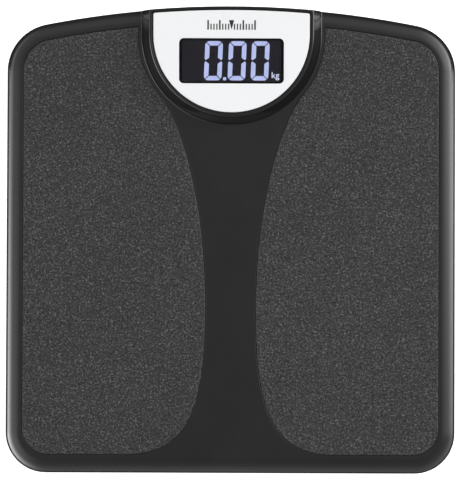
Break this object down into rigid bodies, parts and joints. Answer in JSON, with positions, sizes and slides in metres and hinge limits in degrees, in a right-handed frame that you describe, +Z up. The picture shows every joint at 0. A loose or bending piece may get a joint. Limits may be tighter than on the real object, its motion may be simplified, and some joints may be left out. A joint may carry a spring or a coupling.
{
  "type": "digital bathroom scale",
  "caption": "Low square personal scale with grained standing mats, a waisted smooth spine, a raised U-shaped display pod, load-cell feet and a battery door.",
  "frame": {"origin": "on the floor, under the middle of the scale's outline", "axes": "+X to the user's right, +Y away from the user towards the display, +Z up"},
  "size_m": [0.3, 0.312, 0.038],
  "materials": {
    "platform_abs": "satin moulded ABS",
    "base_abs": "fine spark texture",
    "mat_vinyl": "fine pebbled grain",
    "hood_abs": "semi-gloss moulded ABS",
    "fascia_paint": "pale silver-white paint",
    "window_lens": "polished dark tinted acrylic",
    "lcd": "polished with lit segments",
    "backlight": "diffusing light guide",
    "white_plastic": "satin nylon",
    "zebra_rubber": "striped silicone",
    "board": "solder-masked glass epoxy",
    "chip": "moulded epoxy",
    "screw_steel": "zinc plated",
    "gauge_foil": "etched foil on film",
    "wire_red": "PVC insulation",
    "wire_black": "PVC insulation",
    "wire_blue": "PVC insulation",
    "cell_steel": "nickel plated spring steel",
    "foot_abs": "satin moulded ABS",
    "foot_rubber": "matte moulded rubber",
    "battery_jacket": "printed shrink sleeve, no lettering",
    "contact_metal": "nickel plated spring steel",
    "button_abs": "satin moulded ABS"
  },
  "bodies": {
    "scale_body": {"platform": "platform_abs", "base_cover": "base_abs", "left_mat": "mat_vinyl", "right_mat": "mat_vinyl", "display_hood": "hood_abs", "display_fascia": "fascia_paint", "display_window": "window_lens", "lcd_glass": "lcd", "lcd_backlight": "backlight", "lcd_frame": "white_plastic", "zebra_strip": "zebra_rubber", "main_circuit_board": "board", "board_components": "chip", "board_screws": "screw_steel", "hood_screws": "screw_steel", "load_cell_front_left": "cell_steel", "load_cell_front_right": "cell_steel", "load_cell_rear_left": "cell_steel", "load_cell_rear_right": "cell_steel", "cell_bracket_front_left": "white_plastic", "cell_bracket_front_right": "white_plastic", "cell_bracket_rear_left": "white_plastic", "cell_bracket_rear_right": "white_plastic", "strain_gauges": "gauge_foil", "bracket_screws": "screw_steel", "case_screws": "screw_steel", "load_cell_wires": "wire_red", "battery_front": "battery_jacket", "battery_rear": "battery_jacket", "battery_springs": "contact_metal", "battery_contacts": "contact_metal", "battery_wires": "wire_black", "unit_switch": "chip", "switch_board": "board", "switch_board_screws": "screw_steel", "switch_wires": "wire_blue"},
    "foot_front_left": {"foot_cap_front_left": "foot_abs", "foot_pad_front_left": "foot_rubber"},
    "foot_front_right": {"foot_cap_front_right": "foot_abs", "foot_pad_front_right": "foot_rubber"},
    "foot_rear_left": {"foot_cap_rear_left": "foot_abs", "foot_pad_rear_left": "foot_rubber"},
    "foot_rear_right": {"foot_cap_rear_right": "foot_abs", "foot_pad_rear_right": "foot_rubber"},
    "battery_door": {"battery_door": "base_abs"},
    "unit_button": {"unit_button": "button_abs", "switch_plunger": "white_plastic"}
  },
  "joints": [
    {"name": "foot_front_left_press", "type": "slide", "parent": "scale_body", "child": "foot_front_left", "axis": [0, 0, 1], "range_m": [0, 0.0006], "stiffness_N_per_m": 1500, "springref_m": -0.0018, "deforming": ["load_cell_front_left"]},
    {"name": "foot_front_right_press", "type": "slide", "parent": "scale_body", "child": "foot_front_right", "axis": [0, 0, 1], "range_m": [0, 0.0006], "stiffness_N_per_m": 1500, "springref_m": -0.0018, "deforming": ["load_cell_front_right"]},
    {"name": "foot_rear_left_press", "type": "slide", "parent": "scale_body", "child": "foot_rear_left", "axis": [0, 0, 1], "range_m": [0, 0.0006], "stiffness_N_per_m": 1500, "springref_m": -0.0018, "deforming": ["load_cell_rear_left"]},
    {"name": "foot_rear_right_press", "type": "slide", "parent": "scale_body", "child": "foot_rear_right", "axis": [0, 0, 1], "range_m": [0, 0.0006], "stiffness_N_per_m": 1500, "springref_m": -0.0018, "deforming": ["load_cell_rear_right"]},
    {"name": "battery_door_hinge", "type": "hinge", "parent": "scale_body", "child": "battery_door", "pos_m": [0, 0.0046, 0.0076], "axis": [-1, 0, 0], "range_deg": [0, 90]},
    {"name": "unit_button_press", "type": "slide", "parent": "scale_body", "child": "unit_button", "axis": [0, 0, 1], "range_m": [0, 0.0005], "stiffness_N_per_m": 500, "springref_m": -0.001}
  ]
}
